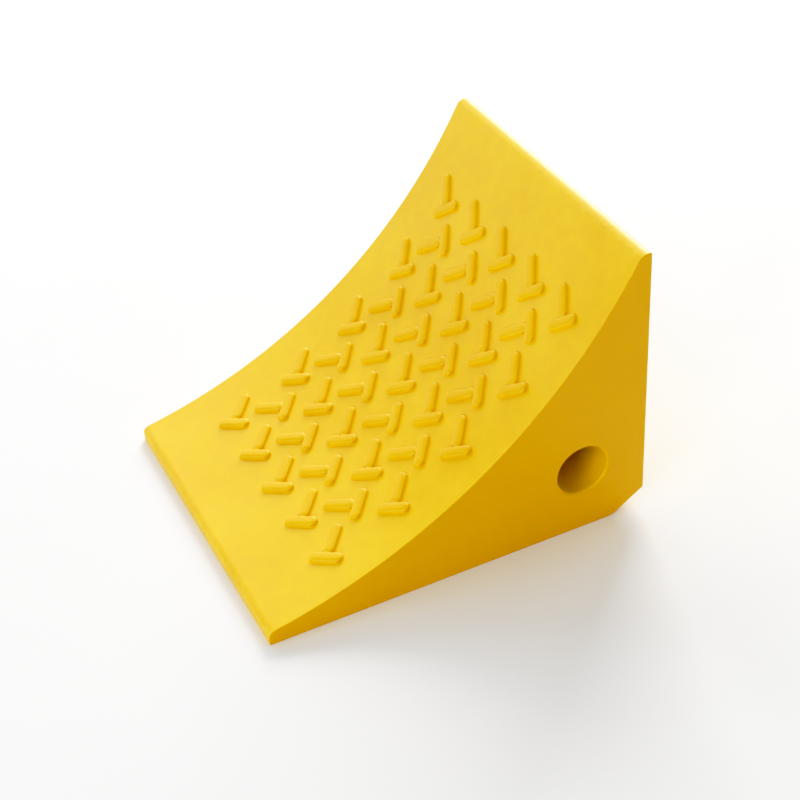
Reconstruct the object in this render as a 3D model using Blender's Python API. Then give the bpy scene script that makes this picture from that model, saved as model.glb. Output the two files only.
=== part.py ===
"""A moulded polyurethane wheel chock: one solid wedge with a concave tyre face.

Metres, +Z up. +X is the width, +Y runs from the thin nose to the tall back, and the origin is
on the ground, under the middle of the bounding box. The real chock is one casting, so the model
is one solid: the wedge, the raised tread on its face and the rope bore through its back corner.
"""

from math import asin, cos, pi, radians, sin, sqrt, tan

import bmesh
import bpy
from mathutils import Matrix, Vector

# Overall size
WIDTH = 0.174
LENGTH = 0.200
HEIGHT = 0.147

# Side outline
FACE_RADIUS = 0.2794  # the concave tyre face
NOSE_HEIGHT = 0.0074  # where the tyre face would meet the front plane
RIDGE_SETBACK = 0.0057  # from the back plane to where the tyre face would reach full height
RIDGE_FALL = radians(8)  # of the ridge's top, from its crown down to the back
HEEL_LENGTH = 0.0176  # sloping heel under the back, along Y
HEEL_HEIGHT = 0.0110

# Rounded corners of the outline
NOSE_ROUND = 0.0042
RIDGE_ROUND = 0.0060  # the crown, which runs smoothly into the tyre face
RIDGE_BACK_ROUND = 0.0013
HEEL_ROUND = 0.0100
CORNER_ROUND = 0.0008
SIDE_ROUND = 0.0004  # along both side faces

# Rope bore, straight through the width
BORE_Y = 0.0657
BORE_Z = 0.0351
BORE_RADIUS = 0.0135
BORE_RIM_ROUND = 0.0015

# Tread: raised T cleats on two interleaved grids, measured on the unrolled tyre face from its
# middle (across) and from the nose end of the arc (up the face)
CLEAT_PITCH_ACROSS = 0.02929
CLEAT_PITCH_UP = 0.03940
RISING_ROWS, RISING_COLUMNS = 5, 5
RISING_START = (-0.0527, 0.0413)
RISING_TURN = radians(45)  # the stem points up the face and to the left
FALLING_ROWS, FALLING_COLUMNS = 4, 4
FALLING_START = (-0.0397, 0.0687)
FALLING_TURN = radians(135)  # the stem points down the face and to the left
CLEAT_BAR_LENGTH = 0.0176
CLEAT_STEM_LENGTH = 0.0196
CLEAT_HALF_WIDTH = 0.0029
CLEAT_TOP_HALF_WIDTH = 0.0019
CLEAT_HEIGHT = 0.0020
CLEAT_SHOULDER = 0.0011
CLEAT_ROOT = 0.0012  # how far the cleat is sunk into the face

# Facets
FACE_STEPS = 48
CORNER_STEPS = 4
FALL_STEPS = 2
CROWN_STEPS = 8
SIDE_STEPS = 2
BORE_STEPS = 32
CLEAT_END_STEPS = 4

BODY_NAME = "chock_body"
BODY_COLOUR = (0.87, 0.50, 0.02, 1.0)
BODY_ROUGHNESS = 0.5
SMOOTH_ANGLE = radians(25)


def clear_scene():
    for existing in list(bpy.data.objects):
        bpy.data.objects.remove(existing, do_unlink=True)


def new_object(name, mesh):
    made = bpy.data.objects.new(name, mesh)
    bpy.context.scene.collection.objects.link(made)
    return made


def turned(vector, angle):
    return Matrix.Rotation(angle, 2) @ vector


def face_centre():
    """Centre of the tyre face's arc, which passes through the nose edge and the ridge edge."""
    nose_edge = Vector((-LENGTH / 2, NOSE_HEIGHT))
    ridge_edge = Vector((LENGTH / 2 - RIDGE_SETBACK, HEIGHT))
    chord = ridge_edge - nose_edge
    half_angle = asin(chord.length / 2 / FACE_RADIUS)
    outward = turned(chord.normalized(), pi / 2)
    return (nose_edge + ridge_edge) / 2 + outward * FACE_RADIUS * cos(half_angle)


FACE_CENTRE = face_centre()


def face_angle(y):
    """Angle around the arc's centre, from straight down, of the face point at y."""
    return asin((y - FACE_CENTRE.x) / FACE_RADIUS)


def face_point(angle):
    return FACE_CENTRE + Vector((sin(angle), -cos(angle))) * FACE_RADIUS


def face_normal(angle):
    """Out of the solid, towards the tyre."""
    return Vector((-sin(angle), cos(angle)))


def arc_points(centre, radius, inward, turn, steps):
    """(point, inward normal) pairs round an arc, anticlockwise from the given normal."""
    normals = [turned(inward, turn * k / steps) for k in range(steps + 1)]
    return [(centre - normal * radius, normal) for normal in normals]


def rounded_corner(corner, way_in, way_out, radius):
    """(point, inward normal) pairs of the arc that rounds one left-hand corner."""
    turn = way_in.angle(way_out)
    start = corner - way_in * radius * tan(turn / 2)
    inward = turned(way_in, pi / 2)
    return arc_points(start + inward * radius, radius, inward, turn, CORNER_STEPS)


def ridge():
    """(point, inward normal) pairs of the back corner, the falling top and the crown."""
    up = Vector((0, 1))
    drop = FACE_CENTRE.y - (HEIGHT - RIDGE_ROUND)
    ahead = sqrt((FACE_RADIUS + RIDGE_ROUND) ** 2 - drop**2)
    centre = FACE_CENTRE + Vector((ahead, -drop))
    rising = turned(up, pi / 2 - RIDGE_FALL)
    first, last = turned(rising, pi / 2), (centre - FACE_CENTRE).normalized()
    falling = arc_points(centre, RIDGE_ROUND, first, RIDGE_FALL, FALL_STEPS)
    crown = arc_points(centre, RIDGE_ROUND, -up, last.angle(-up), CROWN_STEPS)
    start = falling[0][0]
    corner = start - rising * ((start.x - LENGTH / 2) / rising.x)
    return rounded_corner(corner, up, rising, RIDGE_BACK_ROUND) + falling + crown[1:]


def side_outline():
    """(point, inward normal) pairs of the (y, z) outline, anticlockwise from the front edge."""
    front, back = -LENGTH / 2, LENGTH / 2
    ahead, up, down = Vector((1, 0)), Vector((0, 1)), Vector((0, -1))
    heel = Vector((HEEL_LENGTH, HEEL_HEIGHT)).normalized()

    outline = rounded_corner(Vector((front, 0)), down, ahead, CORNER_ROUND)
    outline += rounded_corner(Vector((back - HEEL_LENGTH, 0)), ahead, heel, HEEL_ROUND)
    outline += rounded_corner(Vector((back, HEEL_HEIGHT)), heel, up, CORNER_ROUND)
    outline += ridge()

    nose_angle = face_angle(front)
    nose_way = Vector((-cos(nose_angle), -sin(nose_angle)))
    nose_trim = NOSE_ROUND * tan(nose_way.angle(down) / 2) / FACE_RADIUS
    first, last = asin(outline[-1][1].x), nose_angle + nose_trim
    for k in range(1, FACE_STEPS):
        angle = first + (last - first) * k / FACE_STEPS
        outline.append((face_point(angle), -face_normal(angle)))
    outline += rounded_corner(Vector((front, NOSE_HEIGHT)), nose_way, down, NOSE_ROUND)
    return outline


def wedge_mesh():
    """The outline lofted across the width, drawn in by a quarter round at both side faces."""
    outline = side_outline()
    quarter = [pi / 2 * k / SIDE_STEPS for k in range(SIDE_STEPS + 1)]
    sections = [
        (WIDTH / 2 - SIDE_ROUND + SIDE_ROUND * sin(t), SIDE_ROUND * (1 - cos(t))) for t in quarter
    ]
    sections = [(-x, inset) for x, inset in reversed(sections)] + sections
    bm = bmesh.new()
    rings = []
    for x, inset in sections:
        points = [point + normal * inset for point, normal in outline]
        rings.append([bm.verts.new((x, p.x, p.y)) for p in points])
    count = len(outline)
    for left, right in zip(rings, rings[1:]):
        for k in range(count):
            n = (k + 1) % count
            bm.faces.new((left[k], left[n], right[n], right[k]))
    bm.faces.new(rings[0])
    bm.faces.new(rings[-1])
    bmesh.ops.recalc_face_normals(bm, faces=bm.faces)
    mesh = bpy.data.meshes.new(BODY_NAME)
    bm.to_mesh(mesh)
    bm.free()
    return mesh


def bore_cutter():
    """A turned plug along X whose ends flare out, which leaves both rims rounded."""
    side = WIDTH / 2
    half = [(side - BORE_RIM_ROUND, BORE_RADIUS)]
    for k in range(1, CORNER_STEPS + 1):
        t = pi / 2 * k / CORNER_STEPS
        x = side - BORE_RIM_ROUND * (1 - sin(t))
        half.append((x, BORE_RADIUS + BORE_RIM_ROUND * (1 - cos(t))))
    half.append((side + BORE_RIM_ROUND, BORE_RADIUS + BORE_RIM_ROUND))
    profile = [(-x, r) for x, r in reversed(half)] + half
    bm = bmesh.new()
    rings = []
    for x, radius in profile:
        angles = [2 * pi * k / BORE_STEPS for k in range(BORE_STEPS)]
        rings.append([bm.verts.new((x, radius * cos(a), radius * sin(a))) for a in angles])
    for left, right in zip(rings, rings[1:]):
        for k in range(BORE_STEPS):
            n = (k + 1) % BORE_STEPS
            bm.faces.new((left[k], left[n], right[n], right[k]))
    bm.faces.new(rings[0])
    bm.faces.new(rings[-1])
    bmesh.ops.recalc_face_normals(bm, faces=bm.faces)
    mesh = bpy.data.meshes.new("rope_bore_cutter")
    bm.to_mesh(mesh)
    bm.free()
    cutter = new_object("rope_bore_cutter", mesh)
    cutter.location = (0, BORE_Y, BORE_Z)
    return cutter


def tee_outline(half_width):
    """The T's outline: bar along X through the origin, stem along +Y, round ends."""
    bar_reach = CLEAT_BAR_LENGTH / 2 - CLEAT_HALF_WIDTH
    stem_reach = CLEAT_STEM_LENGTH - CLEAT_HALF_WIDTH
    points = []

    def round_end(centre, first_angle):
        for k in range(CLEAT_END_STEPS + 1):
            angle = first_angle + pi * k / CLEAT_END_STEPS
            points.append(centre + Vector((cos(angle), sin(angle))) * half_width)

    round_end(Vector((bar_reach, 0)), -pi / 2)
    points.append(Vector((half_width, half_width)))
    round_end(Vector((0, stem_reach)), 0)
    points.append(Vector((-half_width, half_width)))
    round_end(Vector((-bar_reach, 0)), pi / 2)
    return points


def add_cleat(bm, placement):
    """One T: upright walls from its root in the face, then walls that lean in to the top."""
    levels = [
        (-CLEAT_ROOT, CLEAT_HALF_WIDTH),
        (CLEAT_SHOULDER, CLEAT_HALF_WIDTH),
        (CLEAT_HEIGHT, CLEAT_TOP_HALF_WIDTH),
    ]
    rings = []
    for height, half_width in levels:
        outline = tee_outline(half_width)
        rings.append([bm.verts.new(placement @ Vector((p.x, p.y, height))) for p in outline])
    count = len(rings[0])
    for low, high in zip(rings, rings[1:]):
        for k in range(count):
            n = (k + 1) % count
            bm.faces.new((low[k], low[n], high[n], high[k]))
    bm.faces.new(rings[0])
    bm.faces.new(rings[-1])


def cleat_placement(across, up_the_face, turn):
    """Stands a cleat on the tyre face, its bar's middle at the given place on the arc."""
    angle = face_angle(-LENGTH / 2) + up_the_face / FACE_RADIUS
    point, normal = face_point(angle), face_normal(angle)
    x_axis = Vector((1, 0, 0))
    z_axis = Vector((0, normal.x, normal.y))
    y_axis = z_axis.cross(x_axis)
    turn_in_place = Matrix.Rotation(turn, 4, "Z")
    frame = Matrix((x_axis, y_axis, z_axis)).transposed().to_4x4()
    return Matrix.Translation((across, point.x, point.y)) @ frame @ turn_in_place


def tread():
    """All the cleats as one guide object, which is joined to the wedge."""
    grids = [
        (RISING_ROWS, RISING_COLUMNS, RISING_START, RISING_TURN),
        (FALLING_ROWS, FALLING_COLUMNS, FALLING_START, FALLING_TURN),
    ]
    bm = bmesh.new()
    for rows, columns, (across, up_the_face), turn in grids:
        for row in range(rows):
            for column in range(columns):
                x = across + column * CLEAT_PITCH_ACROSS
                s = up_the_face + row * CLEAT_PITCH_UP
                add_cleat(bm, cleat_placement(x, s, turn))
    bmesh.ops.recalc_face_normals(bm, faces=bm.faces)
    mesh = bpy.data.meshes.new("tread_guide")
    bm.to_mesh(mesh)
    bm.free()
    return new_object("tread_guide", mesh)


def yellow_polyurethane():
    material = bpy.data.materials.new("yellow_polyurethane")
    material.use_nodes = True
    shader = material.node_tree.nodes["Principled BSDF"]
    shader.inputs["Base Color"].default_value = BODY_COLOUR
    shader.inputs["Roughness"].default_value = BODY_ROUGHNESS
    shader.inputs["Metallic"].default_value = 0.0
    material.diffuse_color = BODY_COLOUR
    return material


def combine(body, tool, operation):
    tool.hide_render = True
    tool.display_type = "WIRE"
    modifier = body.modifiers.new(tool.name, "BOOLEAN")
    modifier.operation = operation
    modifier.solver = "EXACT"
    modifier.object = tool


def main():
    clear_scene()
    body = new_object(BODY_NAME, wedge_mesh())
    body.data.materials.append(yellow_polyurethane())
    body.data.shade_smooth()
    body.data.set_sharp_from_angle(angle=SMOOTH_ANGLE)
    combine(body, bore_cutter(), "DIFFERENCE")
    combine(body, tread(), "UNION")


main()
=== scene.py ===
"""Looks of the moulded polyurethane wheel chock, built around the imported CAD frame.

The CAD body is replaced by one closed skin of the same shape: finely rounded edges and rope
bore, and T cleats with softly arched tops and soft feet that grow out of the tyre face. Metres,
in the frame's own axes: +X width, +Y from nose to back, +Z up.
"""

from math import asin, cos, hypot, pi, radians, sin, sqrt, tan

import bpy
from mathutils import Matrix, Quaternion, Vector
from mathutils.geometry import delaunay_2d_cdt


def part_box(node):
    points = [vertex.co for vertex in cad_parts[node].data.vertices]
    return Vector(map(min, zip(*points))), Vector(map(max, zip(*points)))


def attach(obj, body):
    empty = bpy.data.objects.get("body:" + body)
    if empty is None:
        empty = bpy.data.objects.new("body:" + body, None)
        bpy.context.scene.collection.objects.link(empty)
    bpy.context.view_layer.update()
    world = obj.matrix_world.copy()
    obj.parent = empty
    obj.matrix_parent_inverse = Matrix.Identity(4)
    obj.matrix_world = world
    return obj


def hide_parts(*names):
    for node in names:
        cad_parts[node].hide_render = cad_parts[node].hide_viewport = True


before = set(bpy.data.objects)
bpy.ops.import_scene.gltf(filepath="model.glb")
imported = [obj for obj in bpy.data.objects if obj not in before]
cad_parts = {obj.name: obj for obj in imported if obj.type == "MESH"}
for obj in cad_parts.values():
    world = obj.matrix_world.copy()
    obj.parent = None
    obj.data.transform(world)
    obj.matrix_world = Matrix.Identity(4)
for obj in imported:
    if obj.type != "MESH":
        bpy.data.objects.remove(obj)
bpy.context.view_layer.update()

CAD_NODE = "chock_body"

# Overall size, from the frame
NODE_LOW, NODE_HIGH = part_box(CAD_NODE)
SIDE = NODE_HIGH[0]  # half the width
FRONT, BACK = NODE_LOW[1], NODE_HIGH[1]
HEIGHT = NODE_HIGH[2]

# Side outline, as in the CAD
FACE_RADIUS = 0.2794
NOSE_HEIGHT = 0.0074  # where the tyre face would meet the front plane
RIDGE_SETBACK = 0.0057  # from the back plane to where the tyre face would reach full height
RIDGE_FALL = radians(8)  # of the ridge's top, from its crown down to the back
HEEL_LENGTH = 0.0176
HEEL_HEIGHT = 0.0110
NOSE_ROUND = 0.0042
RIDGE_ROUND = 0.0060  # the crown
RIDGE_BACK_ROUND = 0.0013
HEEL_ROUND = 0.0100
CORNER_ROUND = 0.0008
SIDE_ROUND = 0.0004

# Rope bore
BORE_Y, BORE_Z = 0.0657, 0.0351
BORE_RADIUS = 0.0135
BORE_RIM_ROUND = 0.0015
BORE_RIM_WEAR = 0.1  # of the outer edges' wear

# Tread, on the unrolled tyre face: across from its middle, up from the nose end of the arc
PITCH_ACROSS = 0.02929
PITCH_UP = 0.03940
RISING = {"rows": 5, "columns": 5, "start": (-0.0527, 0.0413), "turn": radians(45)}
FALLING = {"rows": 4, "columns": 4, "start": (-0.0397, 0.0687), "turn": radians(135)}
CLEAT_HEIGHT = 0.0020
BAR_REACH = 0.0059  # from the bar's middle to the centre of its round end
STEM_REACH = 0.0167
STEM_FOOT = 0.0052  # where the stem's own round end starts, which leaves a groove at the bar
CLEAT_HALF_WIDTH = 0.0029
DOME_POWER = 3.2  # of the superellipse across a bar
DOME_END = 0.96  # share of the half width where the dome turns into a straight flank
FOOT_BLEND = 0.0006
GROOVE_BLEND = 0.0006
CLEAT_MARGIN = 0.0039  # reach of a cleat's own patch of mesh around its centre lines
SLOPE_STEP = 0.00002  # either side of a point, to measure how steep a cleat is there
PATCH_SHARE = 0.995  # of CLEAT_MARGIN, where loose points of the face keep out

# Mesh density
CORNER_STEPS = 8
FALL_STEPS = 3
RIDGE_STEPS = 12
SIDE_STEPS = 6
FACE_PITCH = 0.0026
ACROSS_PITCH = 0.0030
FLAT_PITCH = 0.0100
ROW_SHARE = 0.87  # of the pitch, between the rows of a triangular lattice
BORE_STEPS = 96
END_STEPS = 10
BAR_STEPS = 6
STEM_STEPS = 14
CORNER_CROWDING = 1.7  # how much closer points lie towards the corner of bar and stem
FLANK_OFFSETS = (0.900, 0.865, 0.840, 0.817, 0.794, 0.770, 0.740, 0.708)  # shares of CLEAT_MARGIN
DOME_OFFSETS = (0.686, 0.658, 0.625, 0.580, 0.510, 0.400, 0.240, 0.092, 0.0)
MERGE_DISTANCE = 1e-7

# Finish: the sizes of the noise, and how far each layer stands out, in metres
BLOTCH_SIZE, MOTTLING_SIZE, GRAIN_SIZE = 0.055, 0.007, 0.0008
RUBBED_SIZE, WAVE_SIZE = 0.0035, 0.028
WAVE_DEPTH, MOTTLING_DEPTH, GRAIN_DEPTH, PIT_DEPTH = 0.00012, 0.00003, 0.000008, 0.00008
PIT_SPACING, PIT_RADIUS = 0.0065, 0.00035
PIT_SHARE = 0.5  # of the cells of that spacing, the ones that hold a pit
BORE_LIGHT_FADE = (0.00005, 0.0003)  # outside the bore's radius, where its painted light fades out

# Finish: how much each layer counts for in the tone, the colours and the roughness, painted light
# and shade included
BLOTCH_WEIGHT, MOTTLING_WEIGHT, GRAIN_WEIGHT = 0.9, 0.45, 0.15
TONE_SHIFT = -0.25  # which brings the mean tone to 0.5
TONE_RANGE = (0.2, 0.8)  # from the deep to the bright yellow
# The cleat tops' mix is a painted shade; the shoulders' mix is rubbed wear and a painted
# highlight.
CLEAT_TOP_SHADE_MIX, SHOULDER_WEAR_AND_HIGHLIGHT_MIX = 0.38, 0.15
# The bore's mix is painted light.
# The side faces' mix is a painted shade.
SIDE_SHADE_MIX, BORE_LIGHT_MIX, PIT_MIX, RUBBED_MIX = 0.7, 0.5, 0.45, 0.30
ROUGHNESS_RANGE = (0.33, 0.42)
GRAIN_ROUGHNESS, WEAR_ROUGHNESS, CLEAT_ROUGHNESS = 0.04, 0.05, 0.06
REFRACTION, SPECULAR_LEVEL = 1.5, 0.46

# Colours, linear RGB
DEEP_YELLOW, BRIGHT_YELLOW = (0.86, 0.495, 0.016), (0.94, 0.575, 0.026)
RUBBED_EDGE, PIT_OCHRE = (0.95, 0.66, 0.10), (0.52, 0.26, 0.012)
# Cleat tops: a painted shade. Shoulders: rubbed wear and a painted highlight.
CLEAT_TOP_PAINTED_SHADE, SHOULDER_WEAR_AND_HIGHLIGHT = (0.86, 0.43, 0.012), (0.96, 0.68, 0.13)
# The bore wall's colour is painted light.
# The side faces' colour is a painted shade.
SIDE_PAINTED_SHADE, BORE_PAINTED_LIGHT = (0.75, 0.415, 0.010), (0.90, 0.70, 0.06)
FLOOR_DULL, FLOOR_PALE = (0.89, 0.89, 0.885), (0.93, 0.93, 0.93)

# Camera, at the photograph's viewing angle
CAMERA_AZIMUTH = radians(66.340)
CAMERA_ELEVATION = radians(37.406)
CAMERA_ROLL = radians(-3.964)
CAMERA_DISTANCE = 0.85060
CAMERA_TARGET = Vector((-0.00018, 0.01142, 0.04080))
CAMERA_LENS = 76.349

# Studio: softboxes as (name, azimuth, elevation, size, power), all aimed at the subject
SUBJECT = Vector((0.0, 0.0, 0.05))
SOFTBOX_DISTANCE = 2.0
SOFTBOXES = (
    ("front", radians(0), radians(25), 1.0, 2.4),
    ("front_right", radians(45), radians(35), 1.0, 5.1),
    ("front_low", radians(32), radians(14), 0.8, 11.0),
    ("top_back", radians(180), radians(60), 1.0, 7.5),
    ("rim", radians(-126), radians(28), 1.0, 40.0),
    ("left", radians(-86), radians(37), 1.0, 8.2),
    ("left_low", radians(-58), radians(17), 1.0, 5.2),
)
AMBIENT = 0.38
FLOOR_REACH = 60.0  # from the middle to each edge
FLOOR_CLOUD_SIZE, FLOOR_PATCH_SIZE = 0.35, 0.05
FLOOR_GRAIN_SIZE, FLOOR_GRAIN_DEPTH = 0.004, 0.00002
WHITE_LEVEL = 1.3  # scene brightness that prints as white
TONES = (  # scene brightness and its place in the print, 0 to 1
    (0.057, 0.003),
    (0.076, 0.021),
    (0.10, 0.045),
    (0.14, 0.082),
    (0.25, 0.178),
    (0.39, 0.332),
    (0.65, 0.631),
    (0.80, 0.740),
    (1.10, 0.930),
)


class Skin:
    """Faces, and vertices with exact normals, the edges' wear and the tread's height."""

    def __init__(self):
        self.points = []
        self.normals = []
        self.wear = []
        self.tread = []
        self.faces = []

    def add(self, point, normal, wear=0.0, tread=0.0):
        self.points.append(tuple(point))
        self.normals.append(tuple(normal))
        self.wear.append(wear)
        self.tread.append(tread)
        return len(self.points) - 1

    def face(self, corners):
        kept = [c for k, c in enumerate(corners) if c != corners[k - 1]]
        if len(set(kept)) >= 3:
            self.faces.append(tuple(kept))

    def strip(self, left, right, closed=False):
        """Quads between two rows of vertices. The outside is left x right of travel."""
        last = len(left) if closed else len(left) - 1
        for k in range(last):
            n = (k + 1) % len(left)
            self.face((left[k], left[n], right[n], right[k]))

    def build(self, name):
        mesh = bpy.data.meshes.new(name)
        mesh.from_pydata(self.points, [], self.faces)
        mesh.shade_smooth()
        mesh.normals_split_custom_set_from_vertices(self.normals)
        for attribute, values in (("wear", self.wear), ("tread", self.tread)):
            layer = mesh.attributes.new(attribute, "FLOAT", "POINT")
            layer.data.foreach_set("value", values)
        made = bpy.data.objects.new(name, mesh)
        bpy.context.scene.collection.objects.link(made)
        return made


def turned(vector, angle):
    return Matrix.Rotation(angle, 2) @ vector


def spread(first, last, pitch):
    """Evenly spaced values from first to last, both included, about pitch apart."""
    steps = max(1, round(abs(last - first) / pitch))
    return [first + (last - first) * k / steps for k in range(steps + 1)]


# ---------------------------------------------------------------- side outline


def find_face_centre():
    """Centre of the tyre face's arc, which lies above and in front of the chock."""
    nose_edge = Vector((FRONT, NOSE_HEIGHT))
    ridge_edge = Vector((BACK - RIDGE_SETBACK, HEIGHT))
    chord = ridge_edge - nose_edge
    half_angle = asin(chord.length / 2 / FACE_RADIUS)
    outward = turned(chord.normalized(), pi / 2)
    return (nose_edge + ridge_edge) / 2 + outward * FACE_RADIUS * cos(half_angle)


FACE_CENTRE = find_face_centre()


def face_angle(y):
    """Angle around the arc's centre, from straight down, of the face point at y."""
    return asin((y - FACE_CENTRE.x) / FACE_RADIUS)


def find_crown_centre():
    """Centre of the round that touches the full height and the tyre face."""
    drop = FACE_CENTRE.y - (HEIGHT - RIDGE_ROUND)
    ahead = sqrt((FACE_RADIUS + RIDGE_ROUND) ** 2 - drop**2)
    return FACE_CENTRE + Vector((ahead, -drop))


AHEAD, UP, DOWN = Vector((1, 0)), Vector((0, 1)), Vector((0, -1))
CROWN_CENTRE = find_crown_centre()
NOSE_ANGLE = face_angle(FRONT)
RIDGE_ANGLE = asin((CROWN_CENTRE - FACE_CENTRE).normalized().x)
DOWN_AT_NOSE = Vector((-cos(NOSE_ANGLE), -sin(NOSE_ANGLE)))
NOSE_TRIM = NOSE_ROUND * tan(DOWN_AT_NOSE.angle(DOWN) / 2)
FACE_START = NOSE_TRIM  # along the arc, from where it would meet the front plane
FACE_END = (RIDGE_ANGLE - NOSE_ANGLE) * FACE_RADIUS
HEEL_START = Vector((BACK - HEEL_LENGTH, 0))
HEEL_WAY = Vector((HEEL_LENGTH, HEEL_HEIGHT)).normalized()
BORE_CENTRE = Vector((BORE_Y, BORE_Z))


def face_frame(up_the_face):
    """(point, outward normal) in (y, z) of the tyre face, at an arc length from the nose edge."""
    angle = NOSE_ANGLE + up_the_face / FACE_RADIUS
    normal = Vector((-sin(angle), cos(angle)))
    return FACE_CENTRE - normal * FACE_RADIUS, normal


def arc_points(centre, radius, first, last, steps, wear=1.0):
    """(point, outward normal, wear) anticlockwise round an arc between two normals."""
    points = []
    for k in range(steps + 1):
        normal = turned(first, first.angle(last) * k / steps)
        points.append((centre + normal * radius, normal, wear * sin(pi * k / steps)))
    return points


def rounded_corner(corner, way_in, way_out, radius):
    """The arc that rounds one left-hand corner."""
    start = corner - way_in * radius * tan(way_in.angle(way_out) / 2)
    first, last = turned(way_in, -pi / 2), turned(way_out, -pi / 2)
    return arc_points(start - first * radius, radius, first, last, CORNER_STEPS)


def ridge():
    """The rounded back corner, the falling top and the crown that runs into the tyre face."""
    rising = turned(UP, pi / 2 - RIDGE_FALL)
    first, last = turned(UP, -RIDGE_FALL), (FACE_CENTRE - CROWN_CENTRE).normalized()
    falling = arc_points(CROWN_CENTRE, RIDGE_ROUND, first, UP, FALL_STEPS, 0.0)
    crown = arc_points(CROWN_CENTRE, RIDGE_ROUND, UP, last, RIDGE_STEPS)
    start = falling[0][0]
    corner = start - rising * ((start.x - BACK) / rising.x)
    at_back = rounded_corner(corner, UP, rising, RIDGE_BACK_ROUND)
    return at_back + falling + crown[1:]


def joined(corners):
    """The corners in order, with the flats between them divided up."""
    outline = list(corners[0])
    for corner in corners[1:]:
        start, normal, _ = outline[-1]
        end = corner[0][0]
        steps = spread(0.0, 1.0, FLAT_PITCH / max((end - start).length, FLAT_PITCH))
        outline += [(start.lerp(end, t), normal, 0.0) for t in steps[1:-1]]
        outline += corner
    return outline


def body_outline():
    """(point, outward normal, wear) anticlockwise from the face's nose end to its ridge end."""
    outline = joined(
        [
            rounded_corner(Vector((FRONT, NOSE_HEIGHT)), DOWN_AT_NOSE, DOWN, NOSE_ROUND),
            rounded_corner(Vector((FRONT, 0)), DOWN, AHEAD, CORNER_ROUND),
            rounded_corner(HEEL_START, AHEAD, HEEL_WAY, HEEL_ROUND),
            rounded_corner(Vector((BACK, HEEL_HEIGHT)), HEEL_WAY, UP, CORNER_ROUND),
            ridge(),
        ]
    )
    outline[0] = (*face_frame(FACE_START), 0.0)
    outline[-1] = (*face_frame(FACE_END), 0.0)
    return outline


def face_outline():
    """The same along the tyre face, from the ridge end down to the nose end, both left out."""
    return [(*face_frame(s), 0.0) for s in spread(FACE_END, FACE_START, FACE_PITCH)[1:-1]]


# ---------------------------------------------------------------- cleats


def dome(distance):
    """Height of a bar at a distance from its centre line, going on below 0 outside it."""
    share = distance / CLEAT_HALF_WIDTH
    inner = min(share, DOME_END)
    height = CLEAT_HEIGHT * (1 - inner**DOME_POWER) ** (1 / DOME_POWER)
    if share <= DOME_END:
        return height
    rise = DOME_END ** (DOME_POWER - 1) * (1 - DOME_END**DOME_POWER) ** (1 / DOME_POWER - 1)
    return height - CLEAT_HEIGHT * rise * (share - DOME_END)


def blended_max(a, b, blend):
    return max(a, b) + max(blend - abs(a - b), 0.0) ** 2 / (4 * blend)


def cleat_height(a, b):
    """Height over the tyre face in a cleat's own plane: bar along a, stem along b."""
    to_bar = hypot(max(abs(a) - BAR_REACH, 0.0), b)
    to_stem = hypot(a, max(STEM_FOOT - b, b - STEM_REACH, 0.0))
    tee = blended_max(dome(to_bar), dome(to_stem), GROOVE_BLEND)
    return blended_max(tee, 0.0, FOOT_BLEND)


def cleat_slope(a, b):
    """How steeply a cleat's height grows along a and along b."""
    step = SLOPE_STEP
    along_a = (cleat_height(a + step, b) - cleat_height(a - step, b)) / (2 * step)
    along_b = (cleat_height(a, b + step) - cleat_height(a, b - step)) / (2 * step)
    return Vector((along_a, along_b))


def cleat_ring(offset):
    """Points at an offset round the T's centre lines, anticlockwise."""
    ring = []

    def arc(centre, first):
        for k in range(END_STEPS):
            angle = first + pi * k / END_STEPS
            ring.append(Vector(centre) + Vector((cos(angle), sin(angle))) * offset)

    def line_from_corner(start, end, steps):
        for k in range(steps):
            ring.append(Vector(start).lerp(Vector(end), (k / steps) ** CORNER_CROWDING))

    def line_into_corner(start, end, steps):
        for k in range(steps):
            ring.append(Vector(end).lerp(Vector(start), (1 - k / steps) ** CORNER_CROWDING))

    arc((BAR_REACH, 0), -pi / 2)
    line_into_corner((BAR_REACH, offset), (offset, offset), BAR_STEPS)
    line_from_corner((offset, offset), (offset, STEM_REACH), STEM_STEPS)
    arc((0, STEM_REACH), 0)
    line_into_corner((-offset, STEM_REACH), (-offset, offset), STEM_STEPS)
    line_from_corner((-offset, offset), (-BAR_REACH, offset), BAR_STEPS)
    arc((-BAR_REACH, 0), pi / 2)
    line_into_corner((-BAR_REACH, -offset), (0, -offset), BAR_STEPS)
    line_from_corner((0, -offset), (BAR_REACH, -offset), BAR_STEPS)
    return ring


CLEAT_RINGS = [cleat_ring(CLEAT_MARGIN * share) for share in (1.0, *FLANK_OFFSETS, *DOME_OFFSETS)]


def cleat_places():
    """(across, up the face, turn) of every cleat."""
    for grid in (RISING, FALLING):
        for row in range(grid["rows"]):
            for column in range(grid["columns"]):
                across = grid["start"][0] + column * PITCH_ACROSS
                up_the_face = grid["start"][1] + row * PITCH_UP
                yield Vector((across, up_the_face)), grid["turn"]


def to_cleat(place, turn, spot):
    return turned(spot - place, -turn)


def in_cleat(spot):
    """True where a spot of the unrolled face lies in a cleat's patch."""
    for place, turn in cleat_places():
        if (spot - place).length < STEM_REACH + CLEAT_MARGIN:
            a, b = to_cleat(place, turn, spot)
            to_bar = hypot(max(abs(a) - BAR_REACH, 0.0), b)
            to_stem = hypot(a, max(-b, b - STEM_REACH, 0.0))
            if min(to_bar, to_stem) < CLEAT_MARGIN * PATCH_SHARE:
                return True
    return False


def add_face_point(skin, spot, height=0.0, slope=(0.0, 0.0)):
    """A vertex at a spot of the unrolled face, raised by height where the face slopes so."""
    point, outward = face_frame(spot[1])
    point = point + outward * height
    along = Vector((outward.y, -outward.x))
    normal = Vector(
        (
            -slope[0],
            outward.x - along.x * slope[1],
            outward.y - along.y * slope[1],
        )
    ).normalized()
    return skin.add((spot[0], point.x, point.y), normal, 0.0, height / CLEAT_HEIGHT)


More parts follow.
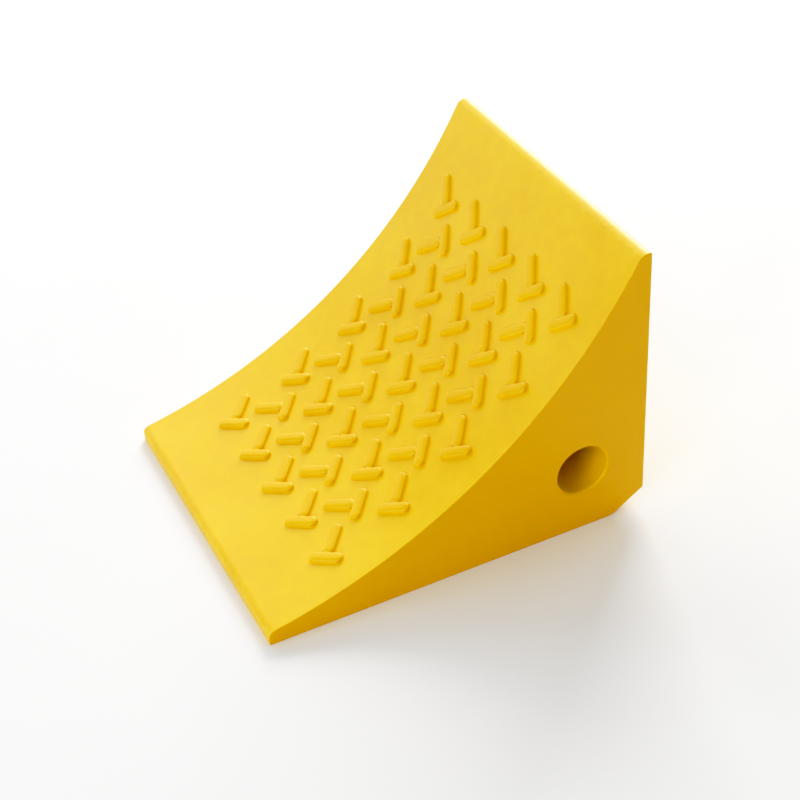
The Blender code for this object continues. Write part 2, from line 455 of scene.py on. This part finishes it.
def add_cleat(skin, place, turn):
    """One cleat's patch of the skin. Returns its outer ring as (spot, vertex) pairs."""
    rows = []
    outer = []
    centre_line = {}
    for level, ring in enumerate(CLEAT_RINGS):
        row = []
        innermost = level == len(CLEAT_RINGS) - 1
        for local in ring:
            key = (round(local.x, 6), round(local.y, 6))
            if innermost and key in centre_line:
                row.append(centre_line[key])
                continue
            spot = place + turned(local, turn)
            height = cleat_height(*local)
            slope = turned(cleat_slope(*local), turn)
            made = add_face_point(skin, spot, height, slope)
            row.append(made)
            if innermost:
                centre_line[key] = made
            if level == 0:
                outer.append((spot, made))
        rows.append(row)
    for low, high in zip(rows, rows[1:]):
        count = len(low)
        for k in range(count):
            n = (k + 1) % count
            skin.face((low[k], low[n], high[n], high[k]))
    return outer


# ---------------------------------------------------------------- the skin


def triangulated(rings, loose):
    """Vertex triples between rings of (spot, vertex) pairs, with the loose pairs taken in."""
    spots, vertices, edges = [], [], []
    for ring in rings:
        base = len(spots)
        spots += [spot for spot, _ in ring]
        vertices += [vertex for _, vertex in ring]
        edges += [(base + k, base + (k + 1) % len(ring)) for k in range(len(ring))]
    first_loose = len(spots)
    spots += [spot for spot, _ in loose]
    vertices += [vertex for _, vertex in loose]
    found = delaunay_2d_cdt(spots, edges, [], 0, MERGE_DISTANCE)
    sources = [ids[0] for ids in found[3]]
    triangles = [[sources[c] for c in corners] for corners in found[2]]
    kept = reached_from(triangles, edges, first_loose)
    return [[vertices[c] for c in triangle] for triangle in kept]


def reached_from(triangles, fences, first_loose):
    """The triangles joined to a loose point's without crossing a fence."""
    fenced = {frozenset(edge) for edge in fences}
    beside = {}
    for index, (a, b, c) in enumerate(triangles):
        for edge in (frozenset((a, b)), frozenset((b, c)), frozenset((c, a))):
            if edge not in fenced:
                beside.setdefault(edge, []).append(index)
    neighbours = [[] for _ in triangles]
    for pair in beside.values():
        if len(pair) == 2:
            neighbours[pair[0]].append(pair[1])
            neighbours[pair[1]].append(pair[0])
    queue = [k for k, corners in enumerate(triangles) if max(corners) >= first_loose]
    reached = set(queue)
    while queue:
        fresh = [k for k in neighbours[queue.pop()] if k not in reached]
        reached.update(fresh)
        queue += fresh
    return [triangles[k] for k in sorted(reached)]


def lattice(low, high, pitch):
    """Spots of a triangular lattice inside a box."""
    rows = spread(low[1], high[1], pitch * ROW_SHARE)[1:-1]
    for k, second in enumerate(rows):
        for first in spread(low[0], high[0], pitch)[1:-1]:
            yield Vector((first + (pitch / 4 if k % 2 else -pitch / 4), second))


def add_rim(skin, outline, side):
    """The quarter round from the outline to one side face. Returns its rows of vertices."""
    rows = []
    for k in range(SIDE_STEPS + 1):
        t = pi / 2 * k / SIDE_STEPS
        x = side * (SIDE - SIDE_ROUND * (1 - sin(t)))
        inset = SIDE_ROUND * (1 - cos(t))
        row = []
        for point, normal, wear in outline:
            moved = point - normal * inset
            outward = (side * sin(t), normal.x * cos(t), normal.y * cos(t))
            row.append(skin.add((x, moved.x, moved.y), outward, max(wear, sin(2 * t))))
        rows.append(row)
    for inner, outer in zip(rows, rows[1:]):
        pair = (inner, outer) if side > 0 else (outer, inner)
        skin.strip(*pair, closed=True)
    return rows


def add_sections(skin, body, face):
    """The lofted outline. Returns the rows that the face sheet and the side faces join."""
    rims = {side: add_rim(skin, body + face, side) for side in (-1, 1)}
    columns = [rims[-1][0][: len(body)]]
    xs = spread(-(SIDE - SIDE_ROUND), SIDE - SIDE_ROUND, ACROSS_PITCH)
    for x in xs[1:-1]:
        row = [skin.add((x, p.x, p.y), (0, n.x, n.y), wear) for p, n, wear in body]
        columns.append(row)
    columns.append(rims[1][0][: len(body)])
    for left, right in zip(columns, columns[1:]):
        skin.strip(left, right)
    return rims, columns, xs


def face_border(rims, columns, xs, body_count):
    """(spot, vertex) pairs round the tyre face's sheet, where it joins the loft."""
    up_the_face = spread(FACE_START, FACE_END, FACE_PITCH)[1:-1]
    right = reversed(rims[1][0][body_count:])
    left = reversed(rims[-1][0][body_count:])
    edge = xs[-1]
    bottom = [(Vector((x, FACE_START)), row[0]) for x, row in zip(xs, columns)]
    right_side = [(Vector((edge, s)), v) for s, v in zip(up_the_face, right)]
    top = [(Vector((x, FACE_END)), row[-1]) for x, row in zip(xs, columns)]
    left_side = [(Vector((-edge, s)), v) for s, v in zip(up_the_face, left)]
    return bottom + right_side + top[::-1] + left_side[::-1]


def add_tyre_face(skin, border):
    """The concave sheet with its cleats, inside its border."""
    rings = [border]
    for place, turn in cleat_places():
        rings.append(add_cleat(skin, place, turn))
    taken = [spot for ring in rings for spot, _ in ring]
    edge = SIDE - SIDE_ROUND
    loose = []
    for spot in lattice((-edge, FACE_START), (edge, FACE_END), ACROSS_PITCH):
        if in_cleat(spot):
            continue
        if min((spot - other).length_squared for other in taken) < (ACROSS_PITCH / 2) ** 2:
            continue
        loose.append((spot, add_face_point(skin, spot)))
    for corners in triangulated(rings, loose):
        skin.face(corners)


def add_bore(skin):
    """The rope bore with its rounded rims. Returns the rim on each side face."""
    quarter = [pi / 2 * k / CORNER_STEPS for k in range(CORNER_STEPS + 1)]
    rim = [
        (SIDE - BORE_RIM_ROUND * (1 - sin(t)), BORE_RADIUS + BORE_RIM_ROUND * (1 - cos(t)), t)
        for t in quarter
    ]
    inner = [(x, BORE_RADIUS, 0.0) for x in spread(-rim[0][0], rim[0][0], FLAT_PITCH)[1:-1]]
    sections = [(-x, r, -t) for x, r, t in reversed(rim)] + inner + rim
    angles = [2 * pi * k / BORE_STEPS for k in range(BORE_STEPS)]
    rows = []
    for x, radius, t in sections:
        row = []
        for angle in angles:
            ahead, up = cos(angle), sin(angle)
            point = (x, BORE_Y + radius * ahead, BORE_Z + radius * up)
            normal = (sin(t), -ahead * cos(t), -up * cos(t))
            row.append(skin.add(point, normal, BORE_RIM_WEAR * abs(sin(2 * t))))
        rows.append(row)
    for left, right in zip(rows, rows[1:]):
        skin.strip(right, left, closed=True)
    return {-1: rows[0], 1: rows[-1]}


def inside_side_face(spot, gap):
    """True where a (y, z) spot is in the side face by more than gap of its sloping edges."""
    below_face = (spot - FACE_CENTRE).length > FACE_RADIUS + SIDE_ROUND + gap
    above_heel = HEEL_WAY.cross(spot - HEEL_START) > gap
    clear_of_bore = (spot - BORE_CENTRE).length > BORE_RADIUS + BORE_RIM_ROUND + gap
    return below_face and above_heel and clear_of_bore


def add_side_faces(skin, rims, bore_rims):
    """The two flat sides, each between the outline's rim and the bore's."""
    gap = FLAT_PITCH / 2

    def flat(vertex):
        return Vector(skin.points[vertex][1:])

    for side in (-1, 1):
        outline = [(flat(v), v) for v in rims[side][-1]]
        hole = [(flat(v), v) for v in bore_rims[side]]
        loose = []
        for spot in lattice((FRONT, 0.0), (BACK, HEIGHT), FLAT_PITCH):
            near = min((spot - other).length for other, _ in outline)
            if near > gap and inside_side_face(spot, gap):
                vertex = skin.add((side * SIDE, spot.x, spot.y), (side, 0, 0))
                loose.append((spot, vertex))
        for corners in triangulated([outline, hole], loose):
            skin.face(corners if side > 0 else corners[::-1])


def chock_skin():
    skin = Skin()
    body, face = body_outline(), face_outline()
    rims, columns, xs = add_sections(skin, body, face)
    add_tyre_face(skin, face_border(rims, columns, xs, len(body)))
    add_side_faces(skin, rims, add_bore(skin))
    return skin.build("chock_skin")


# ---------------------------------------------------------------- materials


class Nodes:
    """Short forms for building one material's node tree, in the object's own metres."""

    def __init__(self, name):
        self.material = bpy.data.materials.new(name)
        self.material.use_nodes = True
        self.tree = self.material.node_tree
        self.shader = self.tree.nodes["Principled BSDF"]
        self.place = self.add("ShaderNodeTexCoord").outputs["Object"]

    def add(self, kind, inputs=None, **settings):
        node = self.tree.nodes.new(kind)
        for key, value in settings.items():
            setattr(node, key, value)
        for key, value in (inputs or {}).items():
            self.feed(node.inputs[key], value)
        return node

    def feed(self, socket, value):
        if isinstance(value, bpy.types.NodeSocket):
            self.tree.links.new(value, socket)
        else:
            socket.default_value = value

    def noise(self, size, detail=2.0, roughness=0.5):
        """Noise about 0.5, with features of the given size in metres."""
        inputs = {
            "Vector": self.place,
            "Scale": 1.0 / size,
            "Detail": detail,
            "Roughness": roughness,
        }
        return self.add("ShaderNodeTexNoise", inputs).outputs["Fac"]

    def ranged(self, value, low, high, to_low=0.0, to_high=1.0):
        """The value mapped smoothly from low..high to to_low..to_high, and held outside."""
        inputs = {
            "Value": value,
            "From Min": low,
            "From Max": high,
            "To Min": to_low,
            "To Max": to_high,
        }
        node = self.add("ShaderNodeMapRange", inputs, interpolation_type="SMOOTHSTEP")
        return node.outputs["Result"]

    def maths(self, operation, first, second=0.0):
        node = self.add("ShaderNodeMath", operation=operation)
        self.feed(node.inputs[0], first)
        self.feed(node.inputs[1], second)
        return node.outputs["Value"]

    def mixed(self, factor, first, second):
        """A colour between two, each a socket or an RGB triple."""
        node = self.add("ShaderNodeMix", data_type="RGBA")
        sockets = {socket.identifier: socket for socket in node.inputs}
        self.feed(sockets["Factor_Float"], factor)
        for key, colour in (("A_Color", first), ("B_Color", second)):
            plain = not isinstance(colour, bpy.types.NodeSocket)
            self.feed(sockets[key], (*colour, 1.0) if plain else colour)
        return next(s for s in node.outputs if s.identifier == "Result_Color")

    def bumped(self, height, depth, under=None):
        """A normal from a 0..1 height that stands depth metres high."""
        inputs = {"Height": height, "Distance": depth, "Strength": 1.0}
        if under is not None:
            inputs["Normal"] = under
        return self.add("ShaderNodeBump", inputs).outputs["Normal"]

    def specks(self, spacing, radius, share):
        """Round spots of the given radius, 1 inside, in a share of cells of the spacing."""
        inputs = {"Vector": self.place, "Scale": 1.0 / spacing}
        cells = self.add("ShaderNodeTexVoronoi", inputs)
        spot = self.ranged(cells.outputs["Distance"], 0.0, radius / spacing, 1.0, 0.0)
        chance = self.add("ShaderNodeSeparateColor", {"Color": cells.outputs["Color"]})
        chosen = self.maths("LESS_THAN", chance.outputs["Red"], share)
        return self.maths("MULTIPLY", spot, chosen)


def yellow_polyurethane():
    nodes = Nodes("yellow_polyurethane")
    wear = nodes.add("ShaderNodeAttribute", attribute_name="wear").outputs["Fac"]
    raised = nodes.add("ShaderNodeAttribute", attribute_name="tread").outputs["Fac"]
    blotches = nodes.noise(BLOTCH_SIZE, 3.0)
    mottling = nodes.noise(MOTTLING_SIZE, 4.0, 0.6)
    grain = nodes.noise(GRAIN_SIZE, 2.0)
    pits = nodes.specks(PIT_SPACING, PIT_RADIUS, PIT_SHARE)
    colour = polyurethane_colour(nodes, wear, blotches, mottling, grain, pits)
    colour = cleat_shade_and_shoulder_highlight(nodes, raised, colour)
    # Painted shade on the side faces.
    colour = nodes.mixed(nodes.maths("MULTIPLY", painted_shade_on_sides(nodes), SIDE_SHADE_MIX), colour, SIDE_PAINTED_SHADE)
    # Painted light inside the rope bore.
    colour = nodes.mixed(nodes.maths("MULTIPLY", painted_light_in_bore(nodes), BORE_LIGHT_MIX), colour, BORE_PAINTED_LIGHT)
    nodes.feed(nodes.shader.inputs["Base Color"], colour)
    roughness = polyurethane_roughness(nodes, wear, raised, mottling, grain)
    nodes.feed(nodes.shader.inputs["Roughness"], roughness)
    nodes.feed(nodes.shader.inputs["Normal"], polyurethane_relief(nodes, mottling, grain, pits))
    nodes.shader.inputs["IOR"].default_value = REFRACTION
    nodes.shader.inputs["Specular IOR Level"].default_value = SPECULAR_LEVEL
    return nodes.material


def polyurethane_colour(nodes, wear, blotches, mottling, grain, pits):
    """Between the two yellows by the noise, with rubbed edges and darker pits."""
    tone = nodes.maths("MULTIPLY_ADD", blotches, BLOTCH_WEIGHT)
    tone.node.inputs[2].default_value = TONE_SHIFT
    tone = nodes.maths("ADD", tone, nodes.maths("MULTIPLY", mottling, MOTTLING_WEIGHT))
    tone = nodes.maths("ADD", tone, nodes.maths("MULTIPLY", grain, GRAIN_WEIGHT))
    colour = nodes.mixed(nodes.ranged(tone, *TONE_RANGE), DEEP_YELLOW, BRIGHT_YELLOW)
    rubbed = nodes.ranged(nodes.noise(RUBBED_SIZE, 4.0, 0.65), 0.42, 0.68, 0.0, RUBBED_MIX)
    colour = nodes.mixed(nodes.maths("MULTIPLY", rubbed, wear), colour, RUBBED_EDGE)
    return nodes.mixed(nodes.maths("MULTIPLY", pits, PIT_MIX), colour, PIT_OCHRE)


def cleat_shade_and_shoulder_highlight(nodes, raised, colour):
    """Painted shade: deeper on the cleat tops than around them. Paler shoulders: rubbed wear and
    a painted highlight.
    """
    top = nodes.ranged(raised, 0.80, 0.97)
    shoulder = nodes.maths("SUBTRACT", nodes.ranged(raised, 0.35, 0.65), top)
    # Painted shade on the cleat tops, then rubbed wear and a painted highlight on the shoulders.
    colour = nodes.mixed(nodes.maths("MULTIPLY", top, CLEAT_TOP_SHADE_MIX), colour, CLEAT_TOP_PAINTED_SHADE)
    shoulder = nodes.maths("MULTIPLY", shoulder, SHOULDER_WEAR_AND_HIGHLIGHT_MIX)
    return nodes.mixed(shoulder, colour, SHOULDER_WEAR_AND_HIGHLIGHT)


def painted_shade_on_sides(nodes):
    """1 on the two side faces, where their painted shade goes, 0 elsewhere."""
    facing = nodes.add("ShaderNodeTexCoord").outputs["Normal"]
    parts = nodes.add("ShaderNodeSeparateXYZ", {"Vector": facing})
    return nodes.ranged(nodes.maths("ABSOLUTE", parts.outputs["X"]), 0.55, 0.95)


def painted_light_in_bore(nodes):
    """1 inside the rope bore, where its painted light goes, 0 elsewhere."""
    inputs = {0: nodes.place, 1: (0.0, 1.0, 1.0)}
    flat = nodes.add("ShaderNodeVectorMath", inputs, operation="MULTIPLY").outputs["Vector"]
    inputs = {0: flat, 1: (0.0, BORE_Y, BORE_Z)}
    away = nodes.add("ShaderNodeVectorMath", inputs, operation="DISTANCE").outputs["Value"]
    first, last = BORE_LIGHT_FADE
    return nodes.ranged(away, BORE_RADIUS + first, BORE_RADIUS + last, 1.0, 0.0)


def polyurethane_roughness(nodes, wear, raised, mottling, grain):
    """Uneven all over, and a little rougher on worn edges and on the cleats."""
    roughness = nodes.ranged(mottling, 0.3, 0.7, *ROUGHNESS_RANGE)
    for layer, share in (
        (grain, GRAIN_ROUGHNESS),
        (wear, WEAR_ROUGHNESS),
        (nodes.ranged(raised, 0.0, 0.6), CLEAT_ROUGHNESS),
    ):
        roughness = nodes.maths("ADD", roughness, nodes.maths("MULTIPLY", layer, share))
    return roughness


def polyurethane_relief(nodes, mottling, grain, pits):
    """Long waves, then mottling, grain and pits on top of each other."""
    relief = nodes.bumped(nodes.noise(WAVE_SIZE, 1.0), WAVE_DEPTH)
    relief = nodes.bumped(mottling, MOTTLING_DEPTH, relief)
    relief = nodes.bumped(grain, GRAIN_DEPTH, relief)
    return nodes.bumped(nodes.maths("SUBTRACT", 1.0, pits), PIT_DEPTH, relief)


def pale_floor():
    nodes = Nodes("pale_floor")
    cloud = nodes.noise(FLOOR_CLOUD_SIZE, 3.0)
    colour = nodes.mixed(nodes.ranged(cloud, 0.3, 0.7), FLOOR_DULL, FLOOR_PALE)
    nodes.feed(nodes.shader.inputs["Base Color"], colour)
    roughness = nodes.ranged(nodes.noise(FLOOR_PATCH_SIZE), 0.3, 0.7, 0.7, 0.8)
    nodes.feed(nodes.shader.inputs["Roughness"], roughness)
    relief = nodes.bumped(nodes.noise(FLOOR_GRAIN_SIZE), FLOOR_GRAIN_DEPTH)
    nodes.feed(nodes.shader.inputs["Normal"], relief)
    return nodes.material


# ---------------------------------------------------------------- studio


def add_floor():
    r = FLOOR_REACH
    mesh = bpy.data.meshes.new("floor")
    corners = [(-r, -r, 0), (r, -r, 0), (r, r, 0), (-r, r, 0)]
    mesh.from_pydata(corners, [], [(0, 1, 2, 3)])
    floor = bpy.data.objects.new("floor", mesh)
    floor.data.materials.append(pale_floor())
    bpy.context.scene.collection.objects.link(floor)


def towards(azimuth, elevation):
    """The direction round from the nose's side (-Y) towards +X, and up from level."""
    level = cos(elevation)
    return Vector((sin(azimuth) * level, -cos(azimuth) * level, sin(elevation)))


def add_softbox(name, azimuth, elevation, size, power):
    away = towards(azimuth, elevation)
    data = bpy.data.lights.new(name, "AREA")
    data.shape = "SQUARE"
    data.size = size
    data.energy = power
    light = bpy.data.objects.new(name, data)
    light.location = SUBJECT + away * SOFTBOX_DISTANCE
    light.rotation_mode = "QUATERNION"
    light.rotation_quaternion = away.to_track_quat("Z", "Y")
    bpy.context.scene.collection.objects.link(light)


def add_world():
    world = bpy.data.worlds.new("studio")
    world.use_nodes = True
    background = world.node_tree.nodes["Background"]
    background.inputs["Color"].default_value = (1.0, 1.0, 1.0, 1.0)
    background.inputs["Strength"].default_value = AMBIENT
    bpy.context.scene.world = world


def grade():
    """The contrast of a catalogue print: deep shades, and lights that ease into white."""
    view = bpy.context.scene.view_settings
    view.view_transform = "Standard"
    view.use_curve_mapping = True
    view.curve_mapping.white_level = (WHITE_LEVEL, WHITE_LEVEL, WHITE_LEVEL)
    combined = view.curve_mapping.curves[3]
    for level, shown in TONES:
        combined.points.new(level / WHITE_LEVEL, shown)
    view.curve_mapping.update()


def add_camera():
    back = towards(CAMERA_AZIMUTH, CAMERA_ELEVATION)
    data = bpy.data.cameras.new("camera")
    data.lens = CAMERA_LENS
    data.clip_start = 0.05
    camera = bpy.data.objects.new("camera", data)
    camera.location = CAMERA_TARGET + back * CAMERA_DISTANCE
    camera.rotation_mode = "QUATERNION"
    roll = Quaternion((0, 0, 1), CAMERA_ROLL)
    camera.rotation_quaternion = back.to_track_quat("Z", "Y") @ roll
    bpy.context.scene.collection.objects.link(camera)
    bpy.context.scene.camera = camera


def main():
    add_camera()
    body = chock_skin()
    body.data.materials.append(yellow_polyurethane())
    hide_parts(CAD_NODE)
    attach(body, "root")
    add_floor()
    add_world()
    for softbox in SOFTBOXES:
        add_softbox(*softbox)
    grade()


main()
